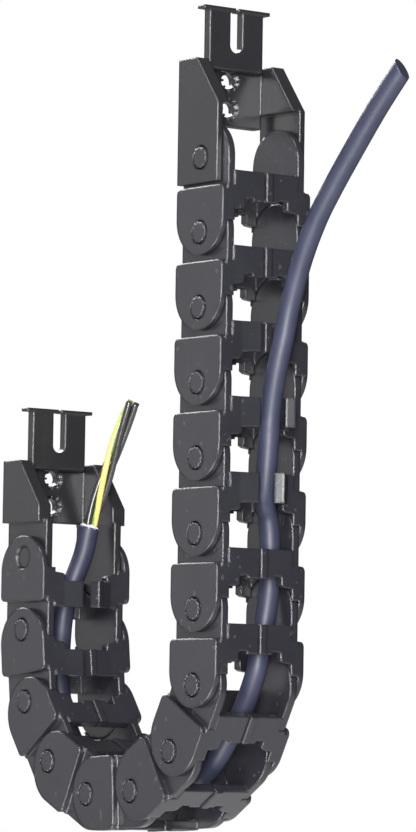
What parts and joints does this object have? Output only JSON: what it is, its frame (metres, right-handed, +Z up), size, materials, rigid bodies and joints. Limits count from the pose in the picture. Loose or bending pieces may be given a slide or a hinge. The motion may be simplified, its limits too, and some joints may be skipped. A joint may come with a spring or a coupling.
{
  "type": "cable drag chain",
  "caption": "Moulded plastic energy chain hanging in a J, pivoting box links between two screw-on end brackets, with a stripped multi-core cable threaded through it.",
  "frame": {"origin": "midway between the two screw holes of the upper bracket, on the rear face of its base plate", "axes": "-X out of the upper bracket's rear face into what it is screwed to, +Y across the chain away from the near side plates, +Z up along the straight run"},
  "size_m": [0.1925, 0.038, 0.2765],
  "materials": {
    "link_plastic": "satin moulded, dark charcoal",
    "bracket_plastic": "satin moulded, near black",
    "cable_sheath": "satin, blue grey",
    "core_black": "glossy black",
    "core_green_yellow": "glossy, yellow with a green stripe"
  },
  "bodies": {
    "bracket_top": {"bracket_top": "bracket_plastic"},
    "link_01": {"link_01": "link_plastic"},
    "link_02": {"link_02": "link_plastic"},
    "link_03": {"link_03": "link_plastic"},
    "link_04": {"link_04": "link_plastic"},
    "link_05": {"link_05": "link_plastic", "cable_sheath": "cable_sheath"},
    "link_06": {"link_06": "link_plastic"},
    "link_07": {"link_07": "link_plastic"},
    "link_08": {"link_08": "link_plastic"},
    "link_09": {"link_09": "link_plastic"},
    "link_10": {"link_10": "link_plastic"},
    "link_11": {"link_11": "link_plastic"},
    "link_12": {"link_12": "link_plastic"},
    "link_13": {"link_13": "link_plastic"},
    "link_14": {"link_14": "link_plastic"},
    "bracket_left": {"bracket_left": "bracket_plastic", "core_black_1": "core_black", "core_black_2": "core_black", "core_black_3": "core_black", "core_green_yellow": "core_green_yellow"}
  },
  "joints": [
    {"name": "pin_00", "type": "hinge", "parent": "bracket_top", "child": "link_01", "pos_m": [0.0125, 0, -0.0237], "axis": [0, 1, 0], "range_deg": [0, 4], "deforming": ["cable_sheath"]},
    {"name": "pin_01", "type": "hinge", "parent": "link_01", "child": "link_02", "pos_m": [0.0125, 0, -0.0487], "axis": [0, 1, 0], "range_deg": [0, 30.2], "deforming": ["cable_sheath", "core_black_1", "core_black_2", "core_black_3", "core_green_yellow"]},
    {"name": "pin_02", "type": "hinge", "parent": "link_02", "child": "link_03", "pos_m": [0.0125, 0, -0.0737], "axis": [0, 1, 0], "range_deg": [0, 30.2], "deforming": ["cable_sheath", "core_black_1", "core_black_2", "core_black_3", "core_green_yellow"]},
    {"name": "pin_03", "type": "hinge", "parent": "link_03", "child": "link_04", "pos_m": [0.0125, 0, -0.0987], "axis": [0, 1, 0], "range_deg": [0, 30.2], "deforming": ["cable_sheath", "core_black_1", "core_black_2", "core_black_3", "core_green_yellow"]},
    {"name": "pin_04", "type": "hinge", "parent": "link_04", "child": "link_05", "pos_m": [0.0125, 0, -0.1237], "axis": [0, 1, 0], "range_deg": [0, 30.2], "deforming": ["cable_sheath", "core_black_1", "core_black_2", "core_black_3", "core_green_yellow"]},
    {"name": "pin_05", "type": "hinge", "parent": "link_05", "child": "link_06", "pos_m": [0.0125, 0, -0.1487], "axis": [0, 1, 0], "range_deg": [0, 30.2], "deforming": ["cable_sheath", "core_black_1", "core_black_2", "core_black_3", "core_green_yellow"]},
    {"name": "pin_06", "type": "hinge", "parent": "link_06", "child": "link_07", "pos_m": [0.0125, 0, -0.1737], "axis": [0, 1, 0], "range_deg": [0, 30.2], "deforming": ["cable_sheath", "core_black_1", "core_black_2", "core_black_3", "core_green_yellow"]},
    {"name": "pin_07", "type": "hinge", "parent": "link_07", "child": "link_08", "pos_m": [0.0125, 0, -0.1987], "axis": [0, -1, 0], "range_deg": [-1.2, 29], "deforming": ["cable_sheath", "core_black_1", "core_black_2", "core_black_3", "core_green_yellow"]},
    {"name": "pin_08", "type": "hinge", "parent": "link_08", "child": "link_09", "pos_m": [0.00038, 0, -0.22057], "axis": [0, -1, 0], "range_deg": [-1.2, 29], "deforming": ["cable_sheath", "core_black_1", "core_black_2", "core_black_3", "core_green_yellow"]},
    {"name": "pin_09", "type": "hinge", "parent": "link_09", "child": "link_10", "pos_m": [-0.02082, 0, -0.23381], "axis": [0, -1, 0], "range_deg": [-1.2, 29], "deforming": ["cable_sheath", "core_black_1", "core_black_2", "core_black_3", "core_green_yellow"]},
    {"name": "pin_10", "type": "hinge", "parent": "link_10", "child": "link_11", "pos_m": [-0.04579, 0, -0.23512], "axis": [0, -1, 0], "range_deg": [-1.2, 29], "deforming": ["cable_sheath", "core_black_1", "core_black_2", "core_black_3", "core_green_yellow"]},
    {"name": "pin_11", "type": "hinge", "parent": "link_11", "child": "link_12", "pos_m": [-0.06826, 0, -0.22416], "axis": [0, -1, 0], "range_deg": [-1.2, 29], "deforming": ["cable_sheath", "core_black_1", "core_black_2", "core_black_3", "core_green_yellow"]},
    {"name": "pin_12", "type": "hinge", "parent": "link_12", "child": "link_13", "pos_m": [-0.0826, 0, -0.20368], "axis": [0, -1, 0], "range_deg": [-1.2, 29], "deforming": ["cable_sheath", "core_black_1", "core_black_2", "core_black_3", "core_green_yellow"]},
    {"name": "pin_13", "type": "hinge", "parent": "link_13", "child": "link_14", "pos_m": [-0.08521, 0, -0.17882], "axis": [0, 1, 0], "range_deg": [-6, 24.2], "deforming": ["cable_sheath", "core_black_1", "core_black_2", "core_black_3", "core_green_yellow"]},
    {"name": "pin_14", "type": "hinge", "parent": "link_14", "child": "bracket_left", "pos_m": [-0.08521, 0, -0.15382], "axis": [0, 1, 0], "range_deg": [0, 30.2], "deforming": ["cable_sheath", "core_black_1", "core_black_2", "core_black_3", "core_green_yellow"]}
  ]
}
